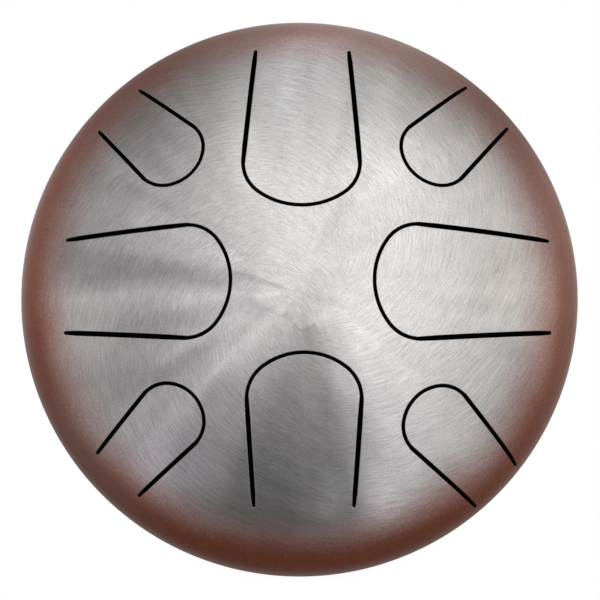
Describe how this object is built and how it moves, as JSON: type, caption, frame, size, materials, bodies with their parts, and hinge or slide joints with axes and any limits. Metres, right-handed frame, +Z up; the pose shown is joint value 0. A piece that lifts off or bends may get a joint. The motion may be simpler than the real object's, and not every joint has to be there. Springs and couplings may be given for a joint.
{
  "type": "steel tongue drum",
  "caption": "Round steel tongue drum: two shallow steel domes welded at the rim, U-shaped slots round sprung tongues in the top, a trimmed sound port below and rubber feet.",
  "frame": {"origin": "on the floor, under the centre of the drum, at the faces of the rubber feet", "axes": "+Z up through the top dome, +Y to the back, -Y to the front, where the player sits, +X to the right"},
  "size_m": [0.3, 0.3, 0.155],
  "materials": {
    "brushed_steel": "fine circular brushing, clear lacquer",
    "copper_lacquer": "copper-brown sprayed lacquer, satin gloss",
    "rubber": "matt black",
    "zinc_plate": "bright zinc plate"
  },
  "bodies": {
    "shell": {"top_shell": "brushed_steel", "bottom_shell": "copper_lacquer", "seam_weld": "copper_lacquer", "port_trim": "rubber", "foot_front_left": "rubber", "foot_front_right": "rubber", "foot_back_left": "rubber", "foot_back_right": "rubber", "foot_inserts": "zinc_plate", "foot_screws": "zinc_plate", "foot_washers": "zinc_plate", "foot_nuts": "zinc_plate"},
    "tongue_right": {"tongue_right": "brushed_steel"},
    "tongue_back_right": {"tongue_back_right": "brushed_steel"},
    "tongue_back": {"tongue_back": "brushed_steel"},
    "tongue_back_left": {"tongue_back_left": "brushed_steel"},
    "tongue_left": {"tongue_left": "brushed_steel"},
    "tongue_front_left": {"tongue_front_left": "brushed_steel"},
    "tongue_front": {"tongue_front": "brushed_steel"},
    "tongue_front_right": {"tongue_front_right": "brushed_steel"}
  },
  "joints": [
    {"name": "tongue_right_bend", "type": "hinge", "parent": "shell", "child": "tongue_right", "pos_m": [0.1288, 0.00025, 0.12064], "axis": [0.0035, -1, 0], "range_deg": [-0.8, 0.8], "stiffness_Nm_per_rad": 50},
    {"name": "tongue_back_right_bend", "type": "hinge", "parent": "shell", "child": "tongue_back_right", "pos_m": [0.09898, 0.09631, 0.11334], "axis": [0.6984, -0.7157, 0], "range_deg": [-0.5, 0.5], "stiffness_Nm_per_rad": 6.9},
    {"name": "tongue_back_bend", "type": "hinge", "parent": "shell", "child": "tongue_back", "pos_m": [0.00147, 0.12419, 0.12318], "axis": [1, -0.007, 0], "range_deg": [-0.8, 0.8], "stiffness_Nm_per_rad": 44},
    {"name": "tongue_back_left_bend", "type": "hinge", "parent": "shell", "child": "tongue_back_left", "pos_m": [-0.09465, 0.0935, 0.11797], "axis": [0.6833, 0.7302, 0], "range_deg": [-0.5, 0.5], "stiffness_Nm_per_rad": 5.6},
    {"name": "tongue_left_bend", "type": "hinge", "parent": "shell", "child": "tongue_left", "pos_m": [-0.1196, -0.0001, 0.12556], "axis": [0, 1, 0], "range_deg": [-0.8, 0.8], "stiffness_Nm_per_rad": 43},
    {"name": "tongue_front_left_bend", "type": "hinge", "parent": "shell", "child": "tongue_front_left", "pos_m": [-0.09244, -0.09578, 0.11799], "axis": [-0.7096, 0.7046, 0], "range_deg": [-0.5, 0.5], "stiffness_Nm_per_rad": 5.5},
    {"name": "tongue_front_bend", "type": "hinge", "parent": "shell", "child": "tongue_front", "pos_m": [0.00221, -0.1114, 0.12926], "axis": [-1, 0.0017, 0], "range_deg": [-0.8, 0.8], "stiffness_Nm_per_rad": 30},
    {"name": "tongue_front_right_bend", "type": "hinge", "parent": "shell", "child": "tongue_front_right", "pos_m": [0.1015, -0.10172, 0.10533], "axis": [-0.7083, -0.7059, 0], "range_deg": [-0.5, 0.5], "stiffness_Nm_per_rad": 8.6}
  ]
}
